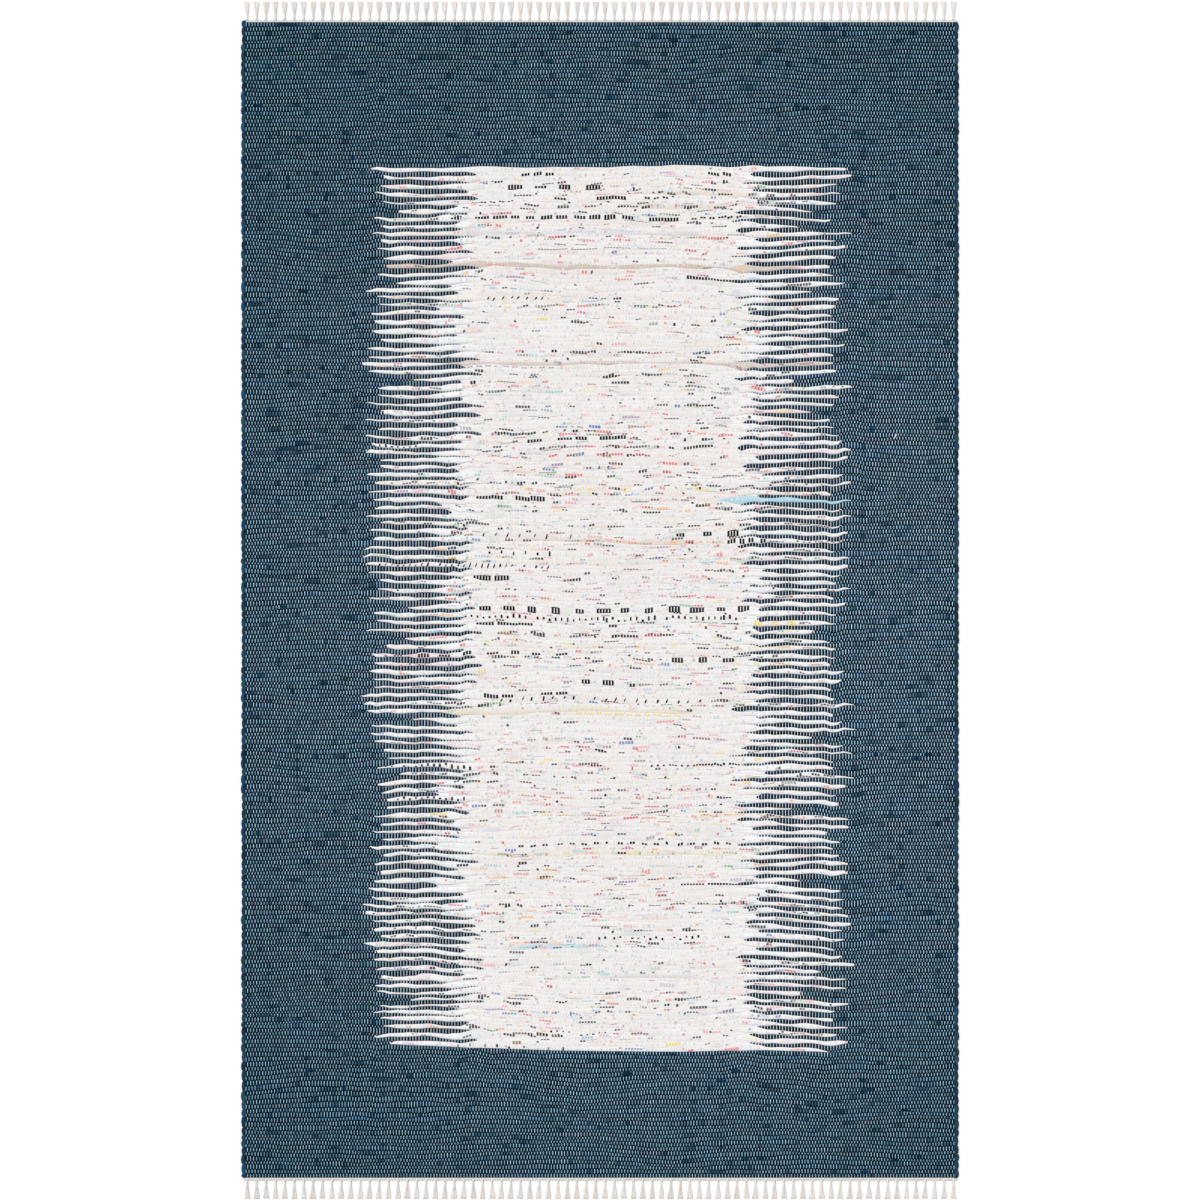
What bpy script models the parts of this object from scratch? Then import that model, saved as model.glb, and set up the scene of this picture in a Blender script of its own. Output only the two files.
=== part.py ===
"""Handwoven cotton rag rug lying flat: a ribbed woven body and two knotted fringes.

Metres, +Z up. The floor is z = 0 and the origin is on it, under the rug's centre.
X runs across the rug, along its wefts. Y runs along its warps, from end to end.
"""
import math
import random

import bmesh
import bpy

# Woven body. A pick is one pass of the weft, and shows as one rib across the rug.
BODY_WIDTH = 1.524
BODY_LENGTH = 2.453
PICK_COUNT = 286
RIB_CREST = 0.0060
RIB_VALLEY = 0.0048
RIB_UNEVEN = 0.0004        # how much lower a thin rag's rib may be than a full one
RIB_DRIFT = 0.0012         # how far a rib strays from its straight line
RIB_DRIFT_LENGTH = 0.19    # length along Y in which the straying comes round again

# Selvedges. The weft turns back round the last warps, in a loop every second pick.
SELVEDGE_WIDTH = 0.0085
SELVEDGE_HEIGHT = 0.0034   # height of the rounded edge's widest line
SELVEDGE_TUCK = 0.0012     # how far the edge draws in under itself, down to the floor
LOOP_BULGE = 0.0020
PICKS_PER_LOOP = 2
EDGE_WANDER = 0.0012       # how far the selvedge wanders in from its straight line
EDGE_WANDER_LENGTH = 0.62

# Fringes. A plain woven heading carries the warp ends, knotted into flat tassels.
JOINT_GAP = 0.0003
HEADING_DEPTH = 0.0045
HEADING_HEIGHT = 0.0040
HEADING_INSET = 0.0040     # how far each end of the heading stops short of the selvedge
TASSEL_COUNT = 76
TASSEL_PITCH = 0.0200
TASSEL_LENGTH = 0.0402
TASSEL_SHORTFALL = 0.0012  # how much shorter the shortest tassel is
TASSEL_LEAN = 0.0011       # how far a tassel's free end strays to one side
TASSEL_SPREAD_RANGE = 0.10

# Sections of a tassel from its knot to its cut end: share of the length, width, height.
TASSEL_SECTIONS = [
    {"along": 0.00, "width": 0.0062, "height": 0.0040},
    {"along": 0.20, "width": 0.0040, "height": 0.0036},
    {"along": 0.64, "width": 0.0088, "height": 0.0031},
    {"along": 1.00, "width": 0.0130, "height": 0.0025},
]

NAVY = (0.036, 0.078, 0.123, 1.0)
CREAM = (0.76, 0.71, 0.67, 1.0)


def clear_scene():
    for old in list(bpy.data.objects):
        bpy.data.objects.remove(old, do_unlink=True)


def make_material(name, colour, roughness):
    material = bpy.data.materials.new(name)
    material.use_nodes = True
    shader = material.node_tree.nodes["Principled BSDF"]
    shader.inputs["Base Color"].default_value = colour
    shader.inputs["Roughness"].default_value = roughness
    shader.inputs["Metallic"].default_value = 0.0
    material.diffuse_color = colour
    return material


def add_object(name, shape, material):
    mesh = bpy.data.meshes.new(name)
    bmesh.ops.recalc_face_normals(shape, faces=shape.faces)
    shape.to_mesh(mesh)
    shape.free()
    mesh.materials.append(material)
    piece = bpy.data.objects.new(name, mesh)
    bpy.context.scene.collection.objects.link(piece)
    return piece


def edge_line(row, side):
    """X of the selvedge at a row, two rows to a pick; side is -1 or 1.

    A loop joins two picks, so it bulges where they meet, and the two sides take turns.
    """
    rows_per_loop = 2 * PICKS_PER_LOOP
    phase = 0 if side < 0 else PICKS_PER_LOOP
    turn = 2 * math.pi * (row - phase) / rows_per_loop
    draw_in = LOOP_BULGE * 0.5 * (1 - math.cos(turn))
    along = row * BODY_LENGTH / (2 * PICK_COUNT)
    wander = EDGE_WANDER * 0.5 * (1 - math.cos(2 * math.pi * along / EDGE_WANDER_LENGTH + side))
    return side * (BODY_WIDTH / 2 - draw_in - wander)


def row_points(row, row_count, chance):
    """The top of the body at one row, from one selvedge to the other."""
    y = BODY_LENGTH * (row / row_count - 0.5)
    top = RIB_CREST if row % 2 else RIB_VALLEY
    left = edge_line(row, -1)
    right = edge_line(row, 1)
    inner_left = left + SELVEDGE_WIDTH
    inner_right = right - SELVEDGE_WIDTH
    drift_turn = 2 * math.pi * y / RIB_DRIFT_LENGTH
    fade = math.sin(math.pi * row / row_count)
    points = [(left, y, SELVEDGE_HEIGHT)]
    for share in (0.0, 1 / 3, 2 / 3, 1.0):
        x = inner_left + share * (inner_right - inner_left)
        drift = RIB_DRIFT * fade * math.sin(drift_turn + 9.0 * share)
        z = top - RIB_UNEVEN * chance.random()
        points.append((x, y + drift, z))
    points.append((right, y, SELVEDGE_HEIGHT))
    return points


def make_woven_body(material):
    """One flat slab: ribs across its top, looped selvedges, and a flat underside."""
    chance = random.Random(11)
    row_count = 2 * PICK_COUNT
    shape = bmesh.new()
    tops = []
    left_feet = []
    right_feet = []
    for row in range(row_count + 1):
        points = row_points(row, row_count, chance)
        tops.append([shape.verts.new(point) for point in points])
        left_feet.append(shape.verts.new((points[0][0] + SELVEDGE_TUCK, points[0][1], 0)))
        right_feet.append(shape.verts.new((points[-1][0] - SELVEDGE_TUCK, points[-1][1], 0)))
    for row in range(row_count):
        near = tops[row]
        far = tops[row + 1]
        for column in range(len(near) - 1):
            shape.faces.new((near[column], near[column + 1], far[column + 1], far[column]))
        shape.faces.new((left_feet[row], near[0], far[0], left_feet[row + 1]))
        shape.faces.new((right_feet[row + 1], far[-1], near[-1], right_feet[row]))
    shape.faces.new([left_feet[0], right_feet[0]] + tops[0][::-1])
    shape.faces.new([right_feet[-1], left_feet[-1]] + tops[-1])
    shape.faces.new(left_feet + right_feet[::-1])
    return add_object("woven_body", shape, material)


def tassel_rows(centre, root_y, direction, chance):
    """The floor and top points of one tassel, a pair of each for every section."""
    length = TASSEL_LENGTH - TASSEL_SHORTFALL * chance.random()
    lean = TASSEL_LEAN * chance.uniform(-1, 1)
    spread = 1 + TASSEL_SPREAD_RANGE * chance.uniform(-1, 1)
    rows = []
    for section in TASSEL_SECTIONS:
        middle = centre + lean * section["along"] ** 2
        widening = 1 + (spread - 1) * section["along"]
        half = section["width"] * widening / 2
        y = root_y + direction * length * section["along"]
        rows.append({"left": middle - half, "right": middle + half, "y": y, "height": section["height"]})
    return rows


def make_fringe(name, direction, seed, material):
    """A heading strip with a row of tassels; direction is 1 at the far end, -1 at the near."""
    chance = random.Random(seed)
    inner_y = direction * (BODY_LENGTH / 2 + JOINT_GAP)
    outer_y = inner_y + direction * HEADING_DEPTH
    strip_half = BODY_WIDTH / 2 - HEADING_INSET
    shape = bmesh.new()

    def pair(x, y, height):
        return shape.verts.new((x, y, 0)), shape.verts.new((x, y, height))

    inner = [pair(-strip_half, inner_y, HEADING_HEIGHT), pair(strip_half, inner_y, HEADING_HEIGHT)]
    outline = [pair(-strip_half, outer_y, HEADING_HEIGHT)]
    floor_line = [outline[0][0]]
    for number in range(TASSEL_COUNT):
        centre = TASSEL_PITCH * (number - (TASSEL_COUNT - 1) / 2)
        lefts = []
        rights = []
        for row in tassel_rows(centre, outer_y, direction, chance):
            lefts.append(pair(row["left"], row["y"], row["height"]))
            rights.append(pair(row["right"], row["y"], row["height"]))
        for step in range(len(lefts) - 1):
            shape.faces.new((lefts[step][1], rights[step][1], rights[step + 1][1], lefts[step + 1][1]))
            shape.faces.new((lefts[step][0], lefts[step][1], lefts[step + 1][1], lefts[step + 1][0]))
            shape.faces.new((rights[step][1], rights[step][0], rights[step + 1][0], rights[step + 1][1]))
        shape.faces.new((lefts[-1][0], lefts[-1][1], rights[-1][1], rights[-1][0]))
        outline += [lefts[0], rights[0]]
        floor_line += [left[0] for left in lefts] + [right[0] for right in rights[::-1]]
    outline.append(pair(strip_half, outer_y, HEADING_HEIGHT))
    floor_line.append(outline[-1][0])

    for gap in range(0, len(outline), 2):
        start, end = outline[gap], outline[gap + 1]
        shape.faces.new((start[0], start[1], end[1], end[0]))
    shape.faces.new((inner[0][0], inner[0][1], outline[0][1], outline[0][0]))
    shape.faces.new((inner[1][1], inner[1][0], outline[-1][0], outline[-1][1]))
    shape.faces.new((inner[0][0], inner[1][0], inner[1][1], inner[0][1]))
    shape.faces.new([inner[1][1], inner[0][1]] + [points[1] for points in outline])
    shape.faces.new([inner[1][0], inner[0][0]] + floor_line)
    return add_object(name, shape, material)


def build():
    clear_scene()
    navy_weft = make_material("navy_rag_weft", NAVY, 0.9)
    cream_warp = make_material("cream_cotton_warp", CREAM, 0.9)
    make_woven_body(navy_weft)
    make_fringe("fringe_far", 1, 21, cream_warp)
    make_fringe("fringe_near", -1, 22, cream_warp)


build()
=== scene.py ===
"""Looks of a handwoven cotton rag rug, seen from straight above on a pale floor.

Every rag pick is a tube, every warp a ribbon that runs over and under them, and the
prints on the pale rags are thin patches lying on their picks. Metres, +Z up. A pair of
numbers in brackets is the least and the most that a random draw may give.
"""
import math

import bpy
import numpy as np
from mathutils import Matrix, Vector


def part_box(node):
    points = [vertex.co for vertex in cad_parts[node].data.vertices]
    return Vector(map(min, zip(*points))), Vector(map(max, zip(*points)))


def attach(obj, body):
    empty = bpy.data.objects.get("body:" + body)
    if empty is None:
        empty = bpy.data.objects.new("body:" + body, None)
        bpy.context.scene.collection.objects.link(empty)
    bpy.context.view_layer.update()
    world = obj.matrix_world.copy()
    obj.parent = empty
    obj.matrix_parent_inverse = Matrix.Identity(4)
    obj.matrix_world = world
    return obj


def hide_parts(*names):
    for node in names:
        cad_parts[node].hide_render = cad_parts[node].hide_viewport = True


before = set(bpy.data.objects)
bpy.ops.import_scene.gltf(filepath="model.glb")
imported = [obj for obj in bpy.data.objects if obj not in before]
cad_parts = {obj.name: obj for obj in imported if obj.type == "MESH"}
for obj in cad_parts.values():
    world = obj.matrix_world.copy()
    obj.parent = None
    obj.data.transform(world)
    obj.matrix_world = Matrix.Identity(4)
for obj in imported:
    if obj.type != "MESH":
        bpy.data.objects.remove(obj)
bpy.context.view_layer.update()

# A fixed seed for each part of the work, so that every run gives the same rug
SEEDS = {
    "rows": 5, "wefts": 31, "loops": 37, "warps": 41, "slubs": 43, "prints": 47,
    "headings": 53, "tassels": 59, "fluff": 61, "stains": 67,
}

# Woven body, from the frame
body_low, body_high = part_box("woven_body")
BODY_WIDTH = body_high[0] - body_low[0]
BODY_LENGTH = body_high[1] - body_low[1]
PICK_COUNT = 286
PICK = BODY_LENGTH / PICK_COUNT
WEFT_MIDDLE = 0.0026  # height of a rag's widest line
WEFT_RISE = 0.0016  # crest above that line
WEFT_DROP = 0.0020  # underside below it
RAG_OVERLAP = 1.04  # neighbouring rags press into each other
PALE_OVERLAP = 1.20  # the soft pale ones more
FIELD_OVERLAP = 1.60  # and most where they lie side by side
PALE_LIFT = 0.0004  # long pale picks stand out over their neighbours where the teeth are
PALE_RISE = 0.58  # pale rags are pressed flatter than dark ones
FIELD_RISE = 0.24  # and flatter still in the middle of the field
FIELD_FADE = 0.05  # width of the change from the teeth to the middle
FLOOR_CLEAR = 0.0001

# Profile of a rag across its pick, from one boundary to the other
SHOULDER = 0.55
CREST = 0.87
ACROSS = np.array([1.0, SHOULDER, -SHOULDER, -1.0, 0.0])
UP = np.array([0.0, CREST, CREST, 0.0, -1.0])

# Rows run unevenly: each boundary between two picks drifts on its own and with its neighbours
ROW_DRIFT = 0.29
ROW_DRIFT_STEP = 0.048
ROW_FLUTTER = 0.12
ROW_FLUTTER_STEP = 0.022
ROW_WAVE = 0.0062
ROW_WAVE_STEP = 0.18
ROW_WAVE_PICKS = 8
ROWS_TO_SETTLE = 3  # rows at each end in which the drifting begins
THINNEST_ROW = 0.34

# Stations along a pick
BORDER_STEP = 0.030
TEETH_STEP = 0.0135
FIELD_STEP = 0.028
TEETH_MARGIN = 0.06  # how far the closer stations reach past the teeth
TEETH_MARGIN_LEFT = 0.05  # and past the tips on the left
BORDER_STATIONS = 0.024  # distance between a rag's sections where the weave is plain
STATION_CLEAR = 0.003  # how far stations keep from a rag's ends

# Selvedges. A loop is a fat bead over the two picks that it joins.
SELVEDGE = 0.0095
LOOP_INSET = 0.0060  # where a pick ends inside its loop
LOOP_HALF = 0.0058
LOOP_OVERRUN = 1.12  # how far a loop reaches over its two picks
LOOP_SQUARENESS = 2.1
LOOP_CLOSING = 0.985  # how nearly it closes at its ends
LOOP_STEPS = 5
LOOP_UNEVEN = 0.0022
LOOP_PROUD = 0.0010  # how far the fattest loops stand out past the straight edge
LOOP_RISE = 1.35  # crest of a loop against a rag's
LOOP_END_WIDTH = 0.35  # width of its ends against its middle
LOOP_END_HEIGHT = 0.4
LOOP_END_DRAW = 0.35  # how far its ends draw in, as a share of how much they narrow
LOOP_SHADES = (0.6, 1.35)
LOOP_HUES = np.array([0.2, 0.10, -0.16])
CORNER_KNOB = 0.0035  # how far the first loop on the left stands out past the first row

# Warps
WARP_PITCH = 0.00319
WARP_HALF_ON_NAVY = 0.00055
WARP_HALF_IN_TEETH = 0.00052
WARP_HALF_ON_PALE = 0.00086
WARP_WIDTHS = (0.85, 1.15)
WARP_CLEAR = 0.0010  # how far a float's ridge lies above the rag that it crosses
WARP_CLEAR_ON_PALE = 0.0008
WARP_RIDGE = 0.0004  # how far its sides lie below its ridge
WARP_FLAT = 0.30  # the level part of a float, as a share of its pick on each side
WARP_FLAT_IN_TEETH = 0.40
WARP_FLAT_ON_PALE = 0.38
WARP_REACH = 0.59  # where a float has gone under the next rag, as a share of its pick
WARP_REACH_ON_PALE = 0.10  # how much further it goes beside a pale rag
WARP_DIP = 0.0010  # its height there
WARP_UNDER = 0.0003  # its height under the middle of that rag
WARP_SPREAD = 0.0010  # how much wider its float is over a dark rag's thin tail
THIN_FROM = 0.80  # a dark rag thinner than this share of a pick lets it spread
THIN_SPAN = 0.40  # and how much thinner it is where the float is widest
WARP_STRAY = 0.00022  # how far a float lies to one side
WARP_SKEW = 0.00012  # how far it slants
WARP_OVERRUN = 0.001  # how far the warps run on into the headings
WARP_PIECES = 4
WARP_SHADES = (0.80, 1.20)
WARP_HUES = 0.03
WHITEST_ON_DARK = 0.85  # how white a warp is over the dark rags between two teeth
WHITER_BEFORE = 0.005  # where it starts to be whiter, before the teeth's tips
WHITER_LENGTH = 0.060  # and over what length
PALE_WARP_SHADE = 0.03  # how much of its shade shows on the pale rags
PALE_WARP_HUES = 0.02
WARP_GREYING = 0.16  # how much duller the dullest warp on a pale rag is

# Pale field with combed sides. Long pale picks take turns with long dark ones.
FIELD_FIRST = 36
FIELD_LAST = 254
LEFT_TIP = -0.478
RIGHT_TIP = 0.513
LEFT_INNER = -0.275
RIGHT_INNER = 0.305
TIP_TAPER = 0.018
TIP_SIZE = 0.30  # how thick a rag is at its very end
TIP_STATION = 0.004  # distance of an extra section from a tooth's tip
TIP_HOOK = 0.0018  # how far a tooth's tip bends up or down
TIP_HOOK_LENGTH = 0.015
SHORT_TAPER = 0.006
DARK_TAPER = 0.008
DARK_LIFT = 0.0001  # how much higher the long dark rags lie
TUCK_UNDER = 0.020  # how far a rag runs on under the one that takes over its pick

# Where the comb's ends lie, and how far they wander from pair to pair, slowly and at once
COMB_ENDS = [
    (LEFT_TIP, 0.012, 0.021),
    (RIGHT_TIP, 0.010, 0.026),
    (LEFT_INNER, 0.014, 0.026),
    (RIGHT_INNER, 0.014, 0.026),
]
COMB_WANDER = 9.0  # pairs of picks in which the slow wander changes
SHORT_TEETH = 0.13  # share of the teeth that are shorter
SHORT_BY = (0.035, 0.090)
SHORT_DARKS = 0.08  # share of the dark rags that end earlier
DARKS_SHORT_BY = 0.04
TAILS = (-0.01, 0.06)  # length in which a dark rag is only a thin strip, none below 0
TAIL_SWELL = 0.50  # how much thicker a pale pick is beside that strip
SWELL_BEFORE = 0.030  # where the swelling starts, before the dark rag's end
SWELL_AFTER = 0.004  # where it begins to end, past the strip
SWELL_END = 0.014  # and where it has ended
SWELL_KEPT = 0.9  # how much of it is left as it begins to end

# How thick a long pale pick is along its comb tooth, from its tip (0) to the dark
# picks' inner ends (1), as a share of an even pick
TOOTH_ALONG = (-0.40, -0.10, 0.00, 0.14, 0.40, 0.70)
TOOTH_SHARES = (1.00, 0.60, 0.48, 0.72, 0.87, 0.92)

# The field's lower edge climbs to the left. The rows near it are beaten to its slope.
LOWER_EDGE_X = (-0.464, -0.287, -0.093, 0.172, 0.325, 0.471)
LOWER_EDGE_Y = (-0.942, -0.949, -0.956, -0.959, -0.955, -0.959)
LOWER_EDGE_REACH = 22  # over how many rows either way the slope dies out

# Fringes
HEADING_DEPTH = 0.0045
HEADING_INSET = 0.0040
JOINT_GAP = 0.0003
HEADING_TWIST = 0.0100
HEADING_STEPS = 4
HEADING_COIL = 0.00062
HEADING_STRAND = 0.00085
HEADING_HEIGHT = 0.0024
HEADING_SHADE = 0.04
HEADING_ROWS = [
    {"out": 0.0014, "twist": 1, "colour": (0.88, 0.87, 0.85)},
    {"out": 0.0038, "twist": -1, "colour": (0.81, 0.75, 0.71)},
]
TASSEL_COUNT = 76
TASSEL_PITCH = 0.0200
TASSEL_TUCK = 0.0004  # how far its root runs into the heading
TASSEL_LENGTHS = (0.975, 1.0)
TASSEL_LEAN = 0.0011
TASSEL_WIDTHS = (0.9, 1.1)
TASSEL_SHADES = (0.96, 1.04)
TASSEL_HUES = np.array([0.01, 0.0, -0.025])
YARNS = 9
YARN_LAYERS = 3
YARN_SIDES = 4
YARN_RADIUS = 0.00085
YARN_STRAY = 0.0003
YARN_SHADES = (0.93, 1.05)

# Places along a tassel from its root (0) to its cut end (1). At each of them: how far its
# outer yarns lie from the middle, how much higher each layer of yarns lies than the one
# under it, and how thick a yarn is
TASSEL_ALONG = np.array([0.00, 0.12, 0.30, 0.60, 0.975, 1.00])
TASSEL_SPREAD = np.array([0.0020, 0.0012, 0.0013, 0.0033, 0.0056, 0.0057])
TASSEL_STACK = np.array([0.0009, 0.0010, 0.0009, 0.0006, 0.0003, 0.0003])
YARN_SIZES = np.array([1.0, 0.95, 0.9, 1.0, 1.05, 1.0])

# Sections of a knot along its tassel, and their sizes
KNOT_ALONG = np.array([-1.0, -0.5, 0.5, 1.0])
KNOT_SIZES = np.array([0.55, 1.0, 1.0, 0.55])
KNOT_HALF = 0.0027
KNOT_LENGTH = 0.7  # its length against its width
KNOT_PLACE = 0.0022
KNOT_MIDDLE = 0.0022
KNOT_RISE = 0.0021
KNOT_SIDES = 6
KNOT_SHADE = 0.97

# Lumps where one dark rag was joined to the next
SLUB_COUNT = 50
SLUB_COLOURS = np.array([
    (0.0050, 0.0290, 0.0560),
    (0.0050, 0.0300, 0.0720),
    (0.0040, 0.0310, 0.0480),
    (0.0050, 0.0250, 0.0430),
])
SLUB_SECTIONS = np.array([-1.0, -0.7, 0.0, 0.7, 1.0])
SLUB_CLOSING = 0.97
SLUB_FROM_EDGE = 0.02
SLUB_FROM_TEETH = 0.05
SLUB_LENGTHS = (0.007, 0.017)
SLUB_HEIGHTS = (0.0022, 0.0031)
SLUB_WIDTHS = (0.50, 0.62)
SLUB_DROP = 0.0012
SLUB_LIFT = 0.0004
SLUB_SHADES = (0.8, 1.4)

# A stray end of white thread, caught in the right border
LOOSE_END = {"x": 0.627, "y": 0.3475, "length": 0.0125, "turn": 62, "half": 0.0012, "height": 0.0049}
LOOSE_SECTIONS = np.array([0.5, 1.0, 0.9, 0.4])
LOOSE_FLATNESS = 0.6

# Fluff on a dark rag dims the warps over it
FLUFF_GRID = 0.004
FLUFF_LENGTH = 0.020
FLUFF_START = 0.60  # noise above which there is fluff
FLUFF_FULL = 1.02  # and above which it hides the warps
FLUFF_COLOUR = np.array([0.020, 0.095, 0.175])
WARM_LENGTH = 0.030  # stretches in which the warps over a rag share a warmer or cooler hue
WARM_SHIFT = np.array([0.10, 0.0, -0.05])

warp_count = int((BODY_WIDTH - 2 * SELVEDGE) / WARP_PITCH) + 1

# Prints on the pale rags
PRINT_LIFT = 0.00014
PRINT_EDGE = 0.002  # length in which a print narrows to its ends
PRINT_EDGE_SHARE = 0.25  # or this share of a short print
PRINT_END_SIZE = 0.75
STAINS_PER_METRE = 4.0
STAIN_LENGTHS = (0.012, 0.055)
STAIN_MARGIN = 0.010
STAIN_PALENESS = (0.84, 0.96)
STAIN_EDGE = 0.007
# Creases: grey and dark lines of painted shade along the pale rags
CREASES_PER_METRE = 1.6
CREASE_LENGTHS = (0.008, 0.040)
CREASE_MARGIN = 0.012
CREASE_PLACES = [-0.7, 0.7]
CREASE_HALF = 0.13
CREASE_PALENESS = (0.1, 0.7)
DARK_CREASES = 0.25
SPECKS_PER_METRE = 20.5
SPECK_CROWDING = 1.5  # shape of the chances that a pick has few or many specks
SPECK_MARGIN = 0.018
SPECK_SHAPE = 3.0  # shape and scale of the chances of a speck's length
SPECK_SCALE = 0.0050
SPECK_LENGTHS = (0.006, 0.036)
SPECK_HALVES = (0.17, 0.48)
SPECK_SHIFT = 0.45
OWN_INK = 0.35  # share of specks in the ink of their own rag
STRONG_SPECKS = 0.55
STRONG_PALENESS = (0.05, 0.30)
WEAK_PALENESS = (0.35, 0.75)
BLACK_PALENESS = 0.2  # how much less pale a black speck is
FLECKS_PER_METRE = 56.0
FLECK_LIFT = 0.00010
FLECK_MARGIN = 0.020
FLECK_REACHES = (0.4, 0.9)
FLECK_HALVES = (0.12, 0.45)
FLECK_SHIFT = 0.55
FLECK_PALENESS = (0.55, 0.90)
GREY_FLECKS = 0.45

# Charted marks, each thrown a little bigger or smaller than its row says
MARK_HEIGHTS = (0.85, 1.1)
MARK_LENGTHS = (0.8, 1.2)
MARK_STEPS = (0.97, 1.03)
MARK_ROOM = 0.8  # how far across its pick a mark may reach
MARK_DRIFT = 0.5  # how far across its pick it may slant
THIN_MARK = 0.008  # marks shorter than this stand between two warps
THIN_LENGTHS = (0.5, 1.1)
THIN_HEIGHTS = (0.6, 1.2)
THIN_LEANS = (0.5, 1.2)
THIN_ROOM = 0.95
MISSING_MARKS = 0.08
CHARTED_CLEAR = 0.006  # how far specks keep from a charted row

# Inks: how often each turns up, then its colour
INKS = {
    "black": (40, (0.012, 0.013, 0.020)),
    "red": (18, (0.700, 0.070, 0.100)),
    "coral": (12, (0.820, 0.200, 0.140)),
    "pink": (16, (0.840, 0.330, 0.430)),
    "rose": (5, (0.550, 0.060, 0.190)),
    "orange": (6, (0.860, 0.460, 0.130)),
    "yellow": (7, (0.850, 0.660, 0.130)),
    "green": (5, (0.170, 0.440, 0.210)),
    "aqua": (7, (0.270, 0.640, 0.590)),
    "sky": (8, (0.300, 0.530, 0.730)),
    "blue": (6, (0.110, 0.210, 0.500)),
    "violet": (3, (0.330, 0.160, 0.420)),
    "brown": (3, (0.250, 0.130, 0.070)),
    "grey": (9, (0.330, 0.320, 0.330)),
}


def marks(pick, start, end, mark, pitch, tall, ink="black", lean=0.0):
    """A charted row of prints: marks of one length at one pitch along a pick, tall as a share of it."""
    return {
        "pick": pick, "start": start, "end": end, "mark": mark,
        "pitch": pitch, "tall": tall, "ink": ink, "lean": lean,
    }


# The rows of dark prints that stand out, charted one by one
CHARTED = [
    marks(37, -0.168, -0.115, 0.020, 0.026, 0.5),
    marks(37, 0.231, 0.271, 0.020, 0.026, 0.4),
    marks(40, -0.196, -0.010, 0.026, 0.054, 0.95),
    marks(43, -0.096, -0.062, 0.030, 0.034, 0.6),
    marks(43, -0.007, 0.046, 0.030, 0.034, 0.6),
    marks(43, 0.095, 0.165, 0.012, 0.018, 0.3),
    marks(44, -0.234, -0.188, 0.012, 0.018, 0.3),
    marks(48, -0.366, -0.241, 0.023, 0.051, 0.60),
    marks(48, -0.226, 0.052, 0.026, 0.034, 0.7),
    marks(48, 0.101, 0.163, 0.030, 0.034, 0.7),
    marks(48, 0.191, 0.299, 0.014, 0.020, 0.35),
    marks(56, -0.130, 0.120, 0.060, 0.068, 0.14),
    marks(55, -0.100, -0.020, 0.030, 0.044, 0.12),
    marks(63, 0.182, 0.265, 0.040, 0.041, 0.65),
    marks(68, -0.241, -0.109, 0.005, 0.017, 0.8, lean=0.004),
    marks(68, -0.024, 0.029, 0.020, 0.024, 0.6),
    marks(85, -0.283, -0.105, 0.012, 0.019, 0.3, "grey"),
    marks(100, -0.096, -0.071, 0.024, 0.026, 0.5, "blue"),
    marks(100, -0.024, 0.004, 0.024, 0.030, 0.5, "blue"),
    marks(103, -0.156, -0.130, 0.026, 0.030, 0.7),
    marks(103, -0.088, -0.026, 0.030, 0.032, 0.8),
    marks(103, -0.003, 0.048, 0.026, 0.028, 0.7),
    marks(104, -0.470, -0.383, 0.004, 0.013, 0.7),
    marks(117, -0.264, -0.219, 0.030, 0.032, 0.6),
    marks(117, -0.183, -0.126, 0.030, 0.032, 0.6),
    marks(126, 0.163, 0.295, 0.024, 0.053, 0.9),
    marks(127, 0.271, 0.337, 0.030, 0.031, 0.95, "brown"),
    marks(127, -0.249, -0.052, 0.004, 0.0265, 0.8, lean=0.003),
    marks(128, 0.271, 0.337, 0.016, 0.022, 0.7),
    marks(128, 0.414, 0.509, 0.010, 0.013, 0.4, "brown"),
    marks(131, -0.239, -0.066, 0.005, 0.027, 0.7),
    marks(134, -0.468, -0.109, 0.004, 0.0128, 0.8, lean=0.003),
    marks(137, -0.268, -0.190, 0.040, 0.041, 0.85),
    marks(145, -0.306, 0.303, 0.024, 0.050, 0.95),
    marks(147, -0.298, 0.297, 0.005, 0.0125, 0.6),
    marks(148, 0.193, 0.290, 0.020, 0.021, 0.25),
    marks(148, 0.329, 0.411, 0.015, 0.034, 0.8, "yellow"),
    marks(149, -0.262, -0.217, 0.040, 0.042, 0.7),
    marks(149, -0.177, -0.139, 0.036, 0.040, 0.7),
    marks(156, -0.440, -0.064, 0.025, 0.0495, 0.60),
    marks(157, 0.154, 0.284, 0.023, 0.052, 0.8),
    marks(163, -0.043, 0.027, 0.026, 0.051, 0.85),
    marks(166, -0.245, -0.183, 0.030, 0.032, 0.6),
    marks(166, -0.128, -0.077, 0.030, 0.032, 0.6),
    marks(167, -0.234, 0.212, 0.005, 0.022, 0.7, lean=0.003),
    marks(171, -0.052, 0.161, 0.014, 0.021, 0.35, "yellow"),
    marks(183, 0.106, 0.297, 0.008, 0.013, 0.35),
    marks(184, -0.457, -0.277, 0.006, 0.013, 0.6),
    marks(192, -0.457, -0.277, 0.006, 0.013, 0.6),
    marks(203, -0.171, 0.297, 0.012, 0.026, 0.4),
    marks(213, 0.169, 0.297, 0.060, 0.061, 0.35),
    marks(226, -0.001, 0.212, 0.006, 0.013, 0.4),
    marks(250, -0.107, 0.021, 0.006, 0.013, 0.4),
    marks(254, -0.304, -0.070, 0.004, 0.0277, 0.7),
]

# How crowded the specks are: the last pick of each band, and its share of the average
SPECK_BANDS = {
    49: 1.6, 59: 1.2, 83: 0.7, 96: 0.9, 133: 1.5,
    171: 1.1, 183: 0.7, 205: 1.3, 217: 0.6, 254: 0.8,
}

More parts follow.
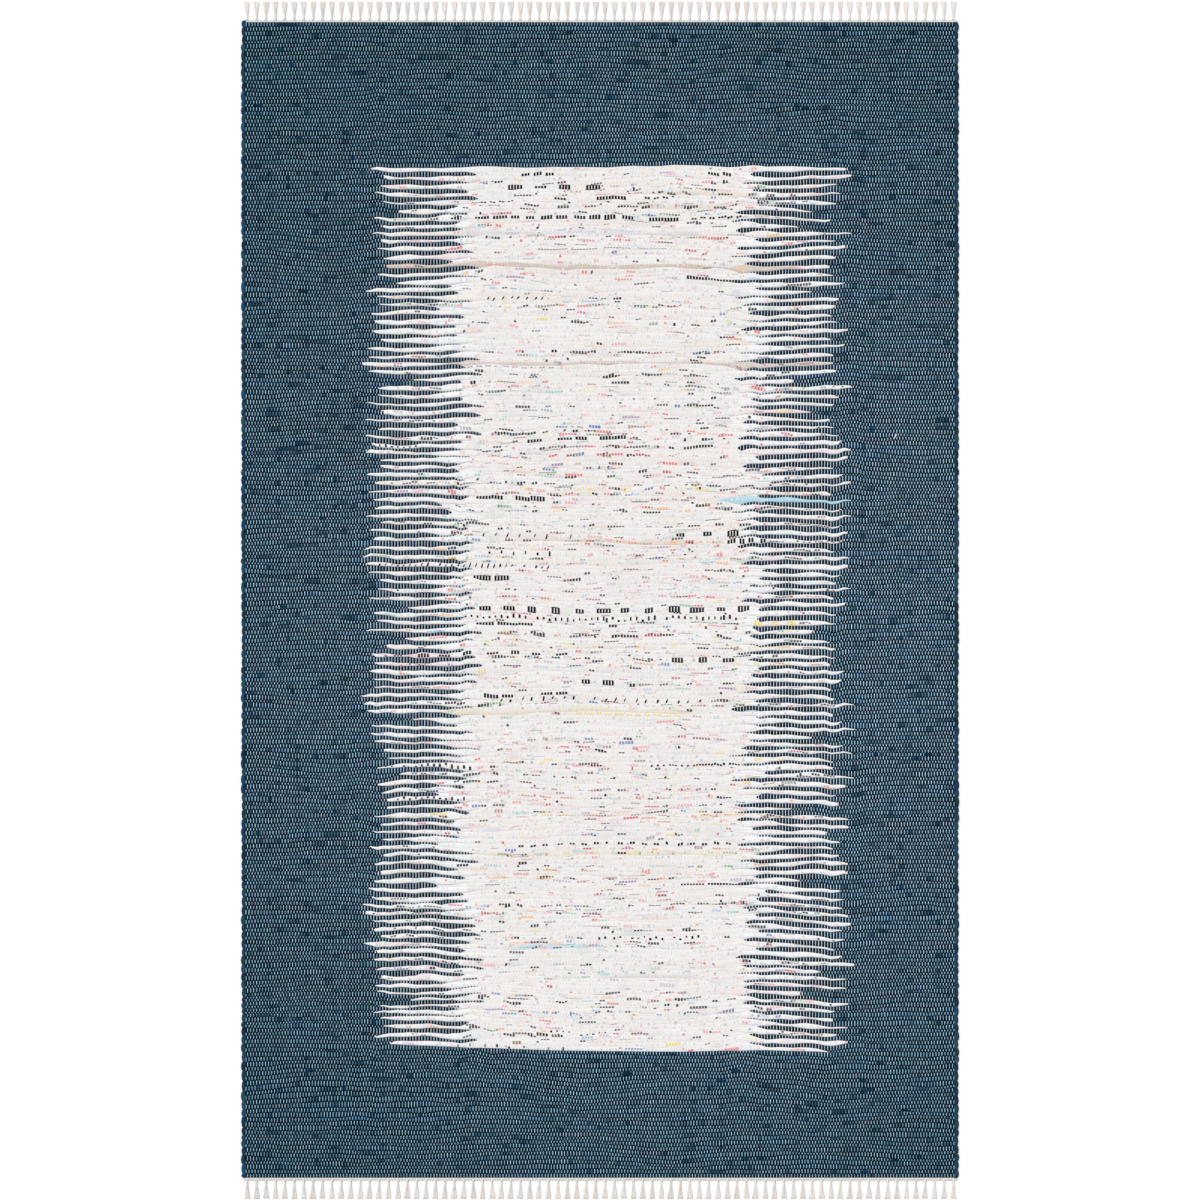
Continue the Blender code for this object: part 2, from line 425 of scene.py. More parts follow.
# Whole picks woven from a tinted rag: the pick, both ends, and the tint against the plain rag
TINTED = [
    (42, 0.00, 0.32, (0.95, 0.89, 0.80)),
    (45, 0.08, 0.34, (0.93, 0.88, 0.80)),
    (52, -0.29, 0.21, (0.90, 0.90, 0.99)),
    (60, -0.47, 0.42, (0.74, 0.65, 0.58)),
    (84, -0.33, 0.49, (0.79, 0.71, 0.67)),
    (96, 0.30, 0.48, (1.00, 0.86, 0.88)),
    (118, 0.25, 0.56, (0.50, 0.81, 0.93)),
    (128, -0.17, 0.21, (0.93, 0.78, 0.68)),
    (156, -0.47, -0.31, (1.00, 0.85, 0.90)),
    (158, -0.47, -0.31, (1.00, 0.88, 0.92)),
    (170, -0.33, 0.20, (0.95, 0.87, 0.70)),
    (205, -0.28, 0.36, (0.97, 0.92, 0.80)),
    (228, -0.19, 0.00, (0.68, 0.88, 1.00)),
    (235, 0.00, 0.21, (0.86, 0.86, 0.87)),
]
TINT_EDGE = 0.02
TINT_ON_WARP = 0.6  # how much of a rag's tint shows on the warps over it

# Faint tints of the pale rags: how often each turns up, then its tint
PALE_TINTS = [
    (60, (1.00, 1.00, 1.00)),
    (14, (0.98, 0.97, 0.94)),
    (8, (1.00, 0.95, 0.95)),
    (6, (0.96, 0.96, 1.00)),
    (5, (0.95, 0.99, 0.97)),
    (4, (0.93, 0.93, 0.94)),
    (3, (0.97, 0.92, 0.86)),
]
PALE_TINT_LENGTH = 0.09  # stretches in which a tint comes and goes
PALE_LIGHT = 0.03
PALE_LIGHT_LENGTH = 0.07
TEETH_WHITENING = np.array([0.03, 0.055, 0.085])  # how much whiter the pale cotton is in the teeth

# Colours of the cotton
NAVY = np.array([0.0008, 0.0158, 0.0325])
NAVY_HUES = [
    {"colour": np.array([0.0012, 0.0200, 0.0570]), "length": 0.12},
    {"colour": np.array([0.0010, 0.0225, 0.0315]), "length": 0.10},
]
HUE_GAIN = 1.6  # a hue shows where its noise, times this, is above its start
HUE_START = 0.9
NAVY_LIGHT = 0.30
NAVY_LIGHT_LENGTH = 0.11
NAVY_LIGHT_EACH = 0.15  # how much lighter or darker a whole rag is
NAVY_LOOP = np.array([0.0120, 0.0490, 0.0900])
RAG_WHITE = np.array([0.830, 0.808, 0.797])
WARP_WHITE = np.array([0.838, 0.816, 0.800])
WARP_ON_NAVY = np.array([0.500, 0.760, 0.910])
CREAM = np.array([0.815, 0.765, 0.728])

# The dark rags, and the warps over them, are lighter near the middle of the rug and darker towards its
# corners
LIGHTEST_X = 0.15
LIGHTNESS_SQUASH = 0.84  # how much slower the lightening falls off along the rug than across it
LIGHTNESS_FULL = 0.55  # distance from its centre within which it is full
LIGHTNESS_END = 1.27  # and at which there is none left
CORNER_TONE = np.array([0.82, 0.87, 0.88])
MIDDLE_TONE = np.array([1.30, 1.15, 1.15])
MIDDLE_RAG_LIFT = np.array([0.0020, 0.0030, 0.0060])

# Materials: roughness, and how finely and how deeply the fibres pit the surface
ROUGHNESS = 0.95
GLOSS = 0.06
RAG_FIBRES = 900
YARN_FIBRES = 1600
FIBRE_DETAIL = 3.0
FIBRE_BUMP = 0.5
FIBRE_DEPTH = 0.0004
FIBRE_SHADES = (0.86, 1.14)
TEXTURE_MARGIN = 0.002

# Photo framing, floor and light
PHOTO_SPAN = 2.549
CAMERA_LENS = 90.0
SENSOR = 36.0
FLOOR_HALF = 40.0
FLOOR_DROP = 0.0002
FLOOR_COLOUR = (0.94, 0.94, 0.94, 1)
FLOOR_ROUGHNESS = 0.9
BACKDROP_COLOUR = (1.0, 1.0, 1.0, 1)
BACKDROP_STRENGTH = 0.52
SUN_STRENGTH = 2.3
SUN_ANGLE = 35
SUN_TURN = (-32, -24, 0)


def chances(table):
    """How likely each row of a table is, from the weight that it starts with."""
    weights = np.array([row[0] for row in table], float)
    return weights / weights.sum()


def between(low, high, share):
    return low + (high - low) * share


def ease(share):
    return share * share * (3 - 2 * share)


def grid(x, y, z):
    """Points from their coordinates, each spread out to the shape of all three."""
    return np.stack(np.broadcast_arrays(x, y, z), axis=-1)


def smooth_noise(rows, step, xs, rng):
    """Random values from -1 to 1 that change smoothly along xs, a row of them for each line."""
    start = xs[0] - step
    count = int((xs[-1] - start) / step) + 3
    values = rng.uniform(-1, 1, (rows, count))
    place = (xs - start) / step
    left = place.astype(int)
    share = ease(place - left)
    return values[:, left] * (1 - share) + values[:, left + 1] * share


def add_mesh(name, points, faces, colours=None, smooth=True):
    """A mesh from points (n, 3), arrays of faces with one corner count each, and point tints (n, 3)."""
    points = np.asarray(points, np.float32)
    faces = [np.asarray(part, np.int32) for part in faces]
    corners = np.concatenate([part.ravel() for part in faces])
    sides = np.concatenate([np.full(len(part), part.shape[1]) for part in faces])
    starts = np.concatenate([[0], np.cumsum(sides)[:-1]]).astype(np.int32)
    mesh = bpy.data.meshes.new(name)
    mesh.vertices.add(len(points))
    mesh.vertices.foreach_set("co", points.ravel())
    mesh.loops.add(len(corners))
    mesh.loops.foreach_set("vertex_index", corners)
    mesh.polygons.add(len(sides))
    mesh.polygons.foreach_set("loop_start", starts)
    mesh.polygons.foreach_set("use_smooth", np.full(len(sides), smooth))
    mesh.update(calc_edges=True)
    uv = mesh.uv_layers.new(name="OFBake")
    low = points.min(axis=0)
    span = (points.max(axis=0) - low)[:2].max()
    flat = between(TEXTURE_MARGIN, 1 - TEXTURE_MARGIN, (points[corners, :2] - low[:2]) / span)
    uv.data.foreach_set("uv", flat.astype(np.float32).ravel())
    if colours is not None:
        layer = mesh.attributes.new("tint", "FLOAT_COLOR", "POINT")
        rgba = np.ones((len(points), 4), np.float32)
        rgba[:, :3] = colours
        layer.data.foreach_set("color", rgba.ravel())
    mesh.validate()
    piece = bpy.data.objects.new(name, mesh)
    bpy.context.scene.collection.objects.link(piece)
    return piece


class Parts:
    """Collects tubes, patches and strips into a single mesh."""

    def __init__(self):
        self.points = []
        self.colours = []
        self.quads = []
        self.triangles = []
        self.count = 0

    def add(self, points, colours, quads, triangles=None):
        """Points (n, 3), their tints (n, 3), and faces that count corners from the first of them."""
        self.points.append(points)
        self.colours.append(colours)
        self.quads.append(self.count + quads)
        if triangles is not None:
            self.triangles.append(self.count + triangles)
        self.count += len(points)

    def add_tube(self, rings, colours):
        """A closed tube from rings (stations, sides, 3), in one tint or in one for each ring."""
        stations, sides, _ = rings.shape
        index = np.arange(stations * sides).reshape(stations, sides)
        around = np.roll(index, -1, axis=1)
        sleeve = np.stack([index[:-1], around[:-1], around[1:], index[1:]], axis=-1)
        caps = []
        for k in range(1, sides - 1):
            caps.append([index[0, 0], index[0, k + 1], index[0, k]])
            caps.append([index[-1, 0], index[-1, k], index[-1, k + 1]])
        tints = np.repeat(np.broadcast_to(colours, (stations, 3)), sides, axis=0)
        self.add(rings.reshape(-1, 3), tints, sleeve.reshape(-1, 4), np.array(caps))

    def add_patch(self, points, colour):
        """A patch in one tint from a grid of points (rows, columns, 3)."""
        index = np.arange(points.size // 3).reshape(points.shape[:2])
        quads = np.stack([index[:-1, :-1], index[1:, :-1], index[1:, 1:], index[:-1, 1:]], axis=-1)
        self.add(points.reshape(-1, 3), np.tile(colour, (index.size, 1)), quads.reshape(-1, 4))

    def build(self, name):
        faces = [np.concatenate(part) for part in (self.quads, self.triangles) if part]
        return add_mesh(name, np.concatenate(self.points), faces, np.concatenate(self.colours))


def station_grid():
    """X of the stations along a pick, closer together where the comb teeth are."""
    half = BODY_WIDTH / 2 - LOOP_INSET
    edges = [
        -half,
        LEFT_TIP - TEETH_MARGIN_LEFT,
        LEFT_INNER + TEETH_MARGIN,
        RIGHT_INNER - TEETH_MARGIN,
        RIGHT_TIP + TEETH_MARGIN,
        half,
    ]
    steps = (BORDER_STEP, TEETH_STEP, FIELD_STEP, TEETH_STEP, BORDER_STEP)
    xs = []
    for start, end, step in zip(edges, edges[1:], steps):
        count = round((end - start) / step)
        xs += [start + (end - start) * k / count for k in range(count)]
    return np.array(xs + [half])


def comb_ends(count, rng):
    """Tips of the pale teeth and inner ends of the dark picks, one of each for every pair."""
    slow = smooth_noise(4, COMB_WANDER, np.arange(count, dtype=float), rng)
    quick = rng.uniform(-1, 1, (4, count))
    odd = rng.random((4, count))
    tips_in = rng.uniform(*SHORT_BY, (2, count)) * (odd[:2] > 1 - SHORT_TEETH)
    darks_in = DARKS_SHORT_BY * (odd[2:] > 1 - SHORT_DARKS)
    ends = []
    for number, (x, slowly, at_once) in enumerate(COMB_ENDS):
        ends.append(x + slowly * slow[number] + at_once * quick[number])
    return ends[0] + tips_in[0], ends[1] - tips_in[1], ends[2] - darks_in[0], ends[3] + darks_in[1]


def tooth_share(x, tip, inner, tail):
    """How thick the long pale pick is at x, on the side where it runs out at tip.

    The dark rag beside it ends at inner, after a tail in which it is only a thin strip.
    """
    along = (x - tip) / (inner - tip)
    left_over = abs(inner - tip) * (1 - along)
    tail = max(tail, 0.0)
    places = [-SWELL_BEFORE, 0.0, tail + SWELL_AFTER, tail + SWELL_END]
    swell = np.interp(left_over, places, [0, 1, SWELL_KEPT, 0])
    return np.interp(along, TOOTH_ALONG, TOOTH_SHARES) + TAIL_SWELL * swell


def slope_lower_edge(lines):
    """Moves the rows near the field's lower edge, so that the edge has its slope."""
    edge = FIELD_LAST + 1
    wanted = np.interp(xs, LOWER_EDGE_X, LOWER_EDGE_Y)
    away = np.minimum(np.abs(np.arange(len(lines)) - edge) / LOWER_EDGE_REACH, 1)[:, None]
    return lines + (wanted - lines[edge]) * 0.5 * (1 + np.cos(np.pi * away))


def row_boundaries():
    """Y of every boundary between picks, from the far end to the near, at every station."""
    order = np.arange(PICK_COUNT + 1)
    even = BODY_LENGTH / 2 - PICK * order[:, None] + np.zeros(len(xs))
    drift = ROW_DRIFT * smooth_noise(len(order), ROW_DRIFT_STEP, xs, chance)
    flutter = ROW_FLUTTER * smooth_noise(len(order), ROW_FLUTTER_STEP, xs, chance)
    coarse = smooth_noise(len(order) // ROW_WAVE_PICKS + 3, ROW_WAVE_STEP, xs, chance)
    place = order / ROW_WAVE_PICKS
    low = place.astype(int)
    share = ease((place - low)[:, None])
    wave = ROW_WAVE * (coarse[low] * (1 - share) + coarse[low + 1] * share)
    fade = np.minimum(1, np.minimum(order, order[::-1]) / ROWS_TO_SETTLE)[:, None]
    lines = even + fade * (PICK * (drift + flutter) + wave)
    for pair in range(pair_count):
        pick = FIELD_FIRST + 2 * pair
        left = tooth_share(xs, left_tip[pair], left_inner[pair], left_tail[pair])
        right = tooth_share(xs, right_tip[pair], right_inner[pair], right_tail[pair])
        change = PICK * (np.where(xs < 0, left, right) - 1) / 2
        lines[pick] += change
        lines[pick + 1] -= change
    lines = slope_lower_edge(lines)
    thick = np.maximum(lines[:-1] - lines[1:], THINNEST_ROW * PICK)
    total = thick.sum(axis=0)
    lines[1:] = lines[0] - np.cumsum(thick, axis=0) * (lines[0] - lines[-1])[None] / total
    return lines


chance = np.random.default_rng(SEEDS["rows"])
xs = station_grid()
pair_count = (FIELD_LAST - FIELD_FIRST) // 2 + 1
left_tip, right_tip, left_inner, right_inner = comb_ends(pair_count, chance)
left_tail, right_tail = chance.uniform(*TAILS, (2, pair_count))
lines = row_boundaries()
middles = (lines[:-1] + lines[1:]) / 2
thick = lines[:-1] - lines[1:]


def row_middle(pick, x):
    return np.interp(x, xs, middles[pick])


def row_thickness(pick, x):
    return np.interp(x, xs, thick[pick])


def row_relief(pick, x):
    """How high a rag's crest stands, against an even pick's: thick rags are also higher."""
    return np.interp(x, xs, np.sqrt(thick[pick] / PICK))


def is_pale_long(pick):
    return FIELD_FIRST <= pick <= FIELD_LAST and (pick - FIELD_FIRST) % 2 == 0


def is_dark_long(pick):
    return FIELD_FIRST < pick < FIELD_LAST and (pick - FIELD_FIRST) % 2 == 1


def pale_span(pick):
    """Where the pale rag of a pick starts and ends, or None in the dark borders."""
    pair = (pick - FIELD_FIRST) // 2
    if is_pale_long(pick):
        return left_tip[pair], right_tip[pair]
    if is_dark_long(pick):
        return left_inner[pair], right_inner[pair]
    return None


def in_field(x):
    """1 in the middle of the pale field, 0 where the comb's teeth are."""
    depth = np.minimum(x - LEFT_INNER, RIGHT_INNER - x)
    return np.clip(0.5 + depth / FIELD_FADE, 0, 1)


def pale_relief(x):
    return between(PALE_RISE, FIELD_RISE, in_field(x))


def pale_overlap(x):
    return between(PALE_OVERLAP, FIELD_OVERLAP, in_field(x))


def pale_lift(pick, x):
    return PALE_LIFT * (1 - in_field(x)) if is_pale_long(pick) else 0.0 * x


def rag_rings(pick, stations, ends, lift=0.0, relief=1.0, hooks=(0.0, 0.0), overlap=RAG_OVERLAP):
    """The rings of one rag along its pick. ends gives the taper length at each end, or 0."""
    middle = row_middle(pick, stations)
    size = np.ones(len(stations))
    reaches = (stations - stations[0], stations[-1] - stations)
    for place, taper, hook in zip(reaches, ends, hooks):
        if taper > 0:
            size = np.minimum(size, between(TIP_SIZE, 1, np.sqrt(np.clip(place / taper, 0, 1))))
        middle = middle + hook * np.clip(1 - place / TIP_HOOK_LENGTH, 0, 1) ** 2
    half = row_thickness(pick, stations) / 2 * overlap * size
    rise = row_relief(pick, stations) * relief * size
    above = rise[:, None] * np.where(UP > 0, WEFT_RISE * UP, 0)
    below = size[:, None] * np.where(UP < 0, WEFT_DROP * UP, 0)
    level = WEFT_MIDDLE + lift + np.zeros(len(stations))
    height = np.maximum(level[:, None] + above + below, FLOOR_CLEAR)
    return grid(stations[:, None], middle[:, None] + half[:, None] * ACROSS, height)


def stations_between(start, end, extra=(), gap=0.0):
    """Stations from start to end, leaving out those that follow another within the gap."""
    inside = []
    for x in xs[(xs > start + STATION_CLEAR) & (xs < end - STATION_CLEAR)]:
        if not inside or x - inside[-1] >= gap:
            inside.append(x)
    kept = [x for x in extra if start < x < end]
    return np.unique(np.concatenate([[start], inside, [end], kept]))


def middle_lightness(x, y):
    """How far each place is towards the lighter middle of the rug, from 0 to 1."""
    far = np.hypot(x - LIGHTEST_X, LIGHTNESS_SQUASH * y)
    return np.clip((LIGHTNESS_END - far) / (LIGHTNESS_END - LIGHTNESS_FULL), 0, 1)[:, None]


def navy_colour(pick, stations, rng):
    """A dark rag's colour along its pick: a little lighter, bluer or greener from rag to rag."""
    light = 1 + NAVY_LIGHT * smooth_noise(1, NAVY_LIGHT_LENGTH, stations, rng)[0]
    light = light + NAVY_LIGHT_EACH * rng.uniform(-1, 1)
    colour = NAVY
    for hue in NAVY_HUES:
        noise = smooth_noise(1, hue["length"], stations, rng)[0]
        colour = between(colour, hue["colour"], np.clip(noise * HUE_GAIN - HUE_START, 0, 1)[:, None])
    # lighter towards the middle of the rug and darker towards its corners
    lightness = middle_lightness(stations, row_middle(pick, stations))
    return colour * light[:, None] * between(CORNER_TONE, MIDDLE_TONE, lightness) + MIDDLE_RAG_LIFT * lightness


def lay_fluff():
    """Tables over all picks: how much fluff dims the warps, and how warm their hue is."""
    rng = np.random.default_rng(SEEDS["fluff"])
    noise = smooth_noise(PICK_COUNT, FLUFF_LENGTH, grid_xs, rng)
    dim = np.clip((noise - FLUFF_START) / (FLUFF_FULL - FLUFF_START), 0, 1)
    warm = smooth_noise(PICK_COUNT, WARM_LENGTH, grid_xs, rng)
    return dim, warm


def ink_colour(ink, pale):
    return between(np.array(INKS[ink][1]), RAG_WHITE, pale)


def lay_stains():
    """Faint washes of ink on the pale rags: their ends for each pick, and a table of tints."""
    rng = np.random.default_rng(SEEDS["stains"])
    names = [name for name in INKS if name not in ("black", "grey", "brown")]
    ends = [[] for _ in range(PICK_COUNT)]
    table = np.ones((PICK_COUNT, len(grid_xs), 3))

    def wash(pick, start, end, tint, edge):
        inside = np.clip(0.5 + np.minimum(grid_xs - start, end - grid_xs) / edge, 0, 1)
        table[pick] *= 1 + (tint - 1) * inside[:, None]

    for pick, start, end, tint in TINTED:
        wash(pick, start, end, np.array(tint), TINT_EDGE)
        for x in (start, end):
            ends[pick] += [x - TINT_EDGE / 2, x + TINT_EDGE / 2]
    for pick in range(FIELD_FIRST, FIELD_LAST + 1):
        start, end = pale_span(pick)
        for _ in range(rng.poisson(STAINS_PER_METRE * (end - start))):
            length = rng.uniform(*STAIN_LENGTHS)
            low = rng.uniform(start + STAIN_MARGIN, end - STAIN_MARGIN - length)
            high = low + length
            ink = names[rng.integers(len(names))]
            wash(pick, low, high, ink_colour(ink, rng.uniform(*STAIN_PALENESS)) / RAG_WHITE, STAIN_EDGE)
            ends[pick] += [low - STAIN_EDGE / 2, (low + high) / 2, high + STAIN_EDGE / 2]
    return ends, table


grid_xs = np.arange(-BODY_WIDTH / 2, BODY_WIDTH / 2 + FLUFF_GRID, FLUFF_GRID)
fluff, warmth = lay_fluff()
stain_ends, stain_tints = lay_stains()


def pale_colour(pick, stations, rng):
    """A pale rag's colour along its pick, with a faint tint that comes and goes."""
    tint = np.array(PALE_TINTS[rng.choice(len(PALE_TINTS), p=chances(PALE_TINTS))][1])
    strength = np.clip(0.5 + smooth_noise(1, PALE_TINT_LENGTH, stations, rng)[0], 0, 1)[:, None]
    light = 1 + PALE_LIGHT * smooth_noise(1, PALE_LIGHT_LENGTH, stations, rng)[0][:, None]
    colour = RAG_WHITE * (1 + (tint - 1) * strength) * light
    colour = colour * (1 + TEETH_WHITENING * (1 - in_field(stations))[:, None])
    for channel in range(3):
        colour[:, channel] *= np.interp(stations, grid_xs, stain_tints[pick, :, channel])
    return colour


def lay_pale_rag(pick, pale, rng):
    """The pale rag of a pick. Where a long one ends, its tip hooks up or down."""
    start, end = pale_span(pick)
    if is_pale_long(pick):
        taper = TIP_TAPER
        extra = [start + TIP_STATION, end - TIP_STATION]
        hooks = TIP_HOOK * rng.uniform(-1, 1, 2)
    else:
        taper = SHORT_TAPER
        extra = []
        hooks = (0.0, 0.0)
        start, end = start - TUCK_UNDER, end + TUCK_UNDER
    stations = stations_between(start, end, extra + stain_ends[pick])
    lift = pale_lift(pick, stations)
    relief = pale_relief(stations)
    rings = rag_rings(pick, stations, (taper, taper), lift, relief, hooks, pale_overlap(stations))
    pale.add_tube(rings, pale_colour(pick, stations, rng))


def lay_dark_rags(pick, dark, rng):
    """The dark rags of a pick: one right across in the borders, or one on each side of the pale."""
    if pale_span(pick) is None:
        stations = stations_between(xs[0], xs[-1], gap=BORDER_STATIONS)
        dark.add_tube(rag_rings(pick, stations, (0, 0)), navy_colour(pick, stations, rng))
        return
    tuck, taper, lift = 0.0, DARK_TAPER, DARK_LIFT
    if is_pale_long(pick):
        tuck, taper, lift = TUCK_UNDER, SHORT_TAPER, -PALE_LIFT
    start, end = pale_span(pick)
    for low, high, tapers in ((xs[0], start + tuck, (0, taper)), (end - tuck, xs[-1], (taper, 0))):
        stations = stations_between(low, high)
        dark.add_tube(rag_rings(pick, stations, tapers, lift), navy_colour(pick, stations, rng))


def build_wefts():
    """All the rags, dark ones in one mesh and pale ones in another."""
    rng = np.random.default_rng(SEEDS["wefts"])
    dark = Parts()
    pale = Parts()
    for pick in range(PICK_COUNT):
        if pale_span(pick) is not None:
            lay_pale_rag(pick, pale, rng)
        lay_dark_rags(pick, dark, rng)
    return dark.build("dark_rag_picks"), pale.build("pale_rag_picks")


def build_selvedges():
    """Loops in which the weft turns back, every second pick, the two sides taking turns."""
    rng = np.random.default_rng(SEEDS["loops"])
    loops = Parts()
    along = np.sin(np.linspace(-math.pi / 2, math.pi / 2, LOOP_STEPS))
    width = (1 - np.abs(along * LOOP_CLOSING) ** LOOP_SQUARENESS) ** (1 / LOOP_SQUARENESS)
    half = LOOP_HALF * between(LOOP_END_WIDTH, 1, width)
    draw_in = LOOP_HALF + (LOOP_HALF - half) * LOOP_END_DRAW
    rise = np.where(UP > 0, WEFT_RISE * LOOP_RISE, WEFT_DROP) * UP
    height = WEFT_MIDDLE + between(LOOP_END_HEIGHT, 1, width)[:, None] * rise
    for side in (-1, 1):
        station = 0 if side < 0 else -1
        first = 1 if side < 0 else 0
        for pick in range(first - 2, PICK_COUNT, 2):
            upper = lines[max(pick, 0), station]
            lower = lines[min(pick + 2, PICK_COUNT), station]
            if upper <= lower:
                continue
            if pick < 0:
                upper += CORNER_KNOB
            half_length = (upper - lower) / 2 * LOOP_OVERRUN
            edge = side * (BODY_WIDTH / 2 + LOOP_PROUD - LOOP_UNEVEN * rng.random())
            x = (edge - side * draw_in)[:, None] + half[:, None] * ACROSS
            y = ((upper + lower) / 2 - half_length * along)[:, None]
            colour = NAVY_LOOP * rng.uniform(*LOOP_SHADES)
            loops.add_tube(grid(x, y, height), colour * (1 + LOOP_HUES * rng.uniform(-1, 1)))
    return loops.build("selvedge_loops")


def lay_slub(slubs, pick, x, rng):
    """A lump on a dark rag, thick enough to hide the warps over it."""
    swell = np.sqrt(1 - (SLUB_SECTIONS * SLUB_CLOSING) ** 2)[:, None]
    stations = x + rng.uniform(*SLUB_LENGTHS) * SLUB_SECTIONS
    proud = rng.uniform(*SLUB_HEIGHTS)
    half = row_thickness(pick, x) * rng.uniform(*SLUB_WIDTHS)
    height = WEFT_MIDDLE + SLUB_LIFT + swell * (np.where(UP > 0, proud, SLUB_DROP) * UP)
    rings = grid(stations[:, None], row_middle(pick, stations)[:, None] + half * swell * ACROSS, height)
    colour = SLUB_COLOURS[rng.integers(len(SLUB_COLOURS))]
    slubs.add_tube(rings, colour * rng.uniform(*SLUB_SHADES))


def lay_loose_end(slubs):
    """The stray end of thread, on top of the weave."""
    turn = math.radians(LOOSE_END["turn"])
    along = LOOSE_END["length"] * np.linspace(-0.5, 0.5, len(LOOSE_SECTIONS))[:, None]
    half = LOOSE_END["half"] * LOOSE_SECTIONS[:, None]
    x = LOOSE_END["x"] + along * math.cos(turn) - half * ACROSS * math.sin(turn)
    y = LOOSE_END["y"] + along * math.sin(turn) + half * ACROSS * math.cos(turn)
    slubs.add_tube(grid(x, y, LOOSE_END["height"] + LOOSE_FLATNESS * half * UP), WARP_WHITE)


def build_slubs():
    """Lumps at the joins between dark rags, thrown over the borders, and the loose end."""
    rng = np.random.default_rng(SEEDS["slubs"])
    slubs = Parts()
    placed = 0
    while placed < SLUB_COUNT:
        pick = int(rng.integers(1, PICK_COUNT - 1))
        x = rng.uniform(xs[0] + SLUB_FROM_EDGE, xs[-1] - SLUB_FROM_EDGE)
        beside_field = x < LEFT_TIP - SLUB_FROM_TEETH or x > RIGHT_TIP + SLUB_FROM_TEETH
        if pale_span(pick) is None or beside_field:
            lay_slub(slubs, pick, x, rng)
            placed += 1
    lay_loose_end(slubs)
    return slubs.build("rag_join_slubs")


def lay_print(prints, pick, x, across, colour, lean, clear):
    """A patch with its corners at the stations x and the places across the pick."""
    shrink = (PALE_OVERLAP / pale_overlap(x))[:, None]
    up = np.interp(np.abs(across) * shrink, [0, SHOULDER, 1], [CREST, CREST, 0])
    rise = row_relief(pick, x) * WEFT_RISE * pale_relief(x)
    half = row_thickness(pick, x) / 2 * PALE_OVERLAP
    lift = clear + pale_lift(pick, x)
    y = row_middle(pick, x)[:, None] + half[:, None] * across
    z = WEFT_MIDDLE + lift[:, None] + rise[:, None] * up
    prints.add_patch(grid(x[:, None] + lean * across, y, z), colour)


def lay_mark(prints, pick, start, end, shift, half, colour, lean=0.0, drift=0.0):
    """A mark from start to end along its pick. Across it, from -1 to 1, it is shifted and half wide.

    lean slants its ends, and drift is how far its end lies across from its start.
    """
    low, high = shift - half, shift + half
    edge = min(PRINT_EDGE_SHARE * (end - start), PRINT_EDGE)
    x = stations_between(start, end, [start + edge, end - edge])
    size = np.where((x == start) | (x == end), PRINT_END_SIZE, 1.0)[:, None]
    columns = [low] + [v for v in (-SHOULDER, SHOULDER) if low < v < high] + [high]
    centre = (low + high) / 2
    across = centre + (np.array(columns)[None] - centre) * size
    across = across + drift * ((x - start) / (end - start) - 0.5)[:, None]
    lay_print(prints, pick, x, np.clip(across, -1, 1), colour, lean, PRINT_LIFT)


def warp_place(number):
    return WARP_PITCH * (number - (warp_count - 1) / 2)


def nearest_warp(x):
    return round(x / WARP_PITCH + (warp_count - 1) / 2)


def gap_near(pick, x):
    """A place beside x where no warp crosses over the pick."""
    number = nearest_warp(x)
    if (number + pick) % 2 == 0:
        number += 1
    return warp_place(number)


def under_warp(pick, x):
    """The place nearest to x where a warp crosses over the pick."""
    number = nearest_warp(x)
    if (number + pick) % 2 == 1:
        number += 1 if warp_place(number) < x else -1
    return warp_place(number)


def stretch_under_warps(pick, place, length):
    """Both ends of a stretch from one warp over the pick to another."""
    start = under_warp(pick, place)
    return start, max(under_warp(pick, place + length), start + 2 * WARP_PITCH)


def print_thin_mark(prints, row, place, rng):
    """A charted mark between two warps. A few are missing."""
    pick = row["pick"]
    length = row["mark"] * rng.uniform(*THIN_LENGTHS)
    half = min(THIN_ROOM, row["tall"] * rng.uniform(*THIN_HEIGHTS))
    lean = row["lean"] * rng.uniform(*THIN_LEANS)
    start = gap_near(pick, place) - length / 2
    shift = rng.uniform(-1, 1) * (THIN_ROOM - half)
    if rng.random() > MISSING_MARKS:
        lay_mark(prints, pick, start, start + length, shift, half, ink_colour(row["ink"], 0.0), lean)


def print_broad_mark(prints, row, place, shift, half, rng):
    """A charted mark that the warps cut up."""
    pick = row["pick"]
    length = row["mark"] * rng.uniform(*MARK_LENGTHS)
    start, end = stretch_under_warps(pick, place, length)
    drift = rng.uniform(-1, 1) * MARK_DRIFT
    lay_mark(prints, pick, start, end, shift, half, ink_colour(row["ink"], 0.0), drift=drift)


def print_charted(prints, rng):
    """The rows of dark marks, each at its own pitch."""
    for row in CHARTED:
        place = row["start"]
        while place < row["end"]:
            half = row["tall"] * rng.uniform(*MARK_HEIGHTS)
            shift = rng.uniform(-1, 1) * max(0, MARK_ROOM - half) / 2
            if row["mark"] < THIN_MARK:
                print_thin_mark(prints, row, place, rng)
            else:
                print_broad_mark(prints, row, place, shift, half, rng)
            place += row["pitch"] * rng.uniform(*MARK_STEPS)


def is_charted(pick, start, end):
    """Whether a charted row of marks runs through this stretch of the pick."""
    for row in CHARTED:
        if row["pick"] == pick and start < row["end"] + CHARTED_CLEAR and end > row["start"] - CHARTED_CLEAR:
            return True
    return False


def band_share(pick):
    """How crowded with specks a pick is, against the average."""
    return next(share for last, share in SPECK_BANDS.items() if pick <= last)


